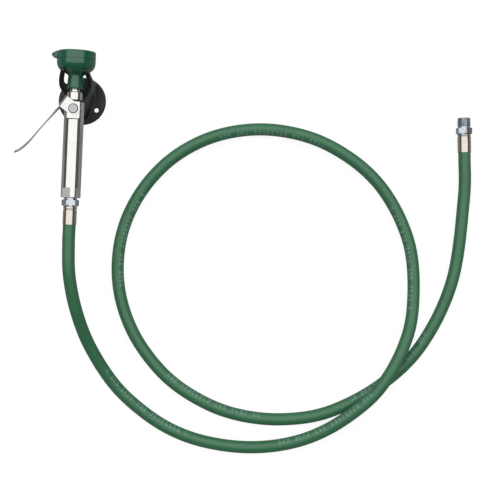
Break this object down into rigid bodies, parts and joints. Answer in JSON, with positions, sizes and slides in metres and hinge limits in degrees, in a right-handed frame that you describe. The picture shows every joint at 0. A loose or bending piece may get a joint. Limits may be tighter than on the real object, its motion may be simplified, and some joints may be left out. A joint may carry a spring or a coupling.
{
  "type": "drench hose",
  "caption": "Hand-held drench hose: green plastic spray head with flip-up dust cover, chrome squeeze valve, black wall bracket and a green hose ending in a threaded pipe fitting.",
  "frame": {"origin": "Centre of the bracket flange's back face, which lies against the wall; in the pose shown it lies on the surface under the whole set.", "axes": "+Z points out of the wall, away from the flange's back. +Y runs along the handset from its hose end to its spray head. +X completes the frame, so the squeeze lever stands out towards -X."},
  "size_m": [0.6915, 0.5966, 0.1237],
  "materials": {
    "plastic_black": "near-black moulded plastic, semi-gloss",
    "plastic_green": "dark green moulded plastic, glossy",
    "rubber_green": "green rubber hose cover, satin, faint cloth impression",
    "rubber_black": "black rubber seals",
    "chrome": "bright chrome plate on turned brass",
    "stainless_steel": "satin stainless steel",
    "brass": "turned brass, unplated",
    "nickel": "nickel-plated brass, bright",
    "zinc": "zinc-plated steel, bluish"
  },
  "bodies": {
    "bracket": {"wall_bracket": "plastic_black"},
    "handset": {"spray_cup": "plastic_green", "spray_plate": "plastic_green", "plate_ring": "stainless_steel", "strainer_screen": "stainless_steel", "flow_control_washer": "rubber_black", "outlet_nipple": "chrome", "outlet_collar": "chrome", "collar_o_ring": "rubber_black", "valve_body": "chrome", "grip_barrel": "chrome", "barrel_o_ring": "rubber_black", "shaft_seal_front": "rubber_black", "shaft_seal_back": "rubber_black", "shaft_bush_front": "brass", "shaft_bush_back": "brass", "stem_guide": "brass", "valve_seat": "brass", "spring_retainer": "brass", "return_spring": "stainless_steel", "inlet_washer": "rubber_black", "inlet_adapter": "chrome", "near_ferrule": "nickel", "cover_hinge_pin": "plastic_green", "hose": "rubber_green", "far_ferrule": "nickel", "far_fitting": "zinc"},
    "lever": {"squeeze_lever": "stainless_steel", "camshaft": "stainless_steel", "pivot_cap_front": "stainless_steel", "pivot_cap_back": "stainless_steel"},
    "stem": {"valve_stem": "brass", "seal_nut": "brass", "seat_seal": "rubber_black"},
    "cover": {"dust_cover": "plastic_green"}
  },
  "joints": [
    {"name": "handset_lift", "type": "slide", "parent": "bracket", "child": "handset", "axis": [0, 0.7071, 0.7071], "range_m": [0, 0.06]},
    {"name": "lever_squeeze", "type": "hinge", "parent": "handset", "child": "lever", "pos_m": [0, -0.0215, 0.095], "axis": [0, 0, 1], "range_deg": [0, 37], "stiffness_Nm_per_rad": 0.35, "springref_deg": -22.92},
    {"name": "stem_travel", "type": "slide", "parent": "handset", "child": "stem", "axis": [0, -1, 0], "range_m": [0, 0.0024], "deforming": ["return_spring"]},
    {"name": "cover_flip", "type": "hinge", "parent": "handset", "child": "cover", "pos_m": [-0.0323, 0.0575, 0.095], "axis": [0, 0, 1], "range_deg": [0, 120]}
  ],
  "couplings": [
    {"joint": "stem_travel", "follows": "lever_squeeze", "m_per_rad": 0.0035}
  ]
}
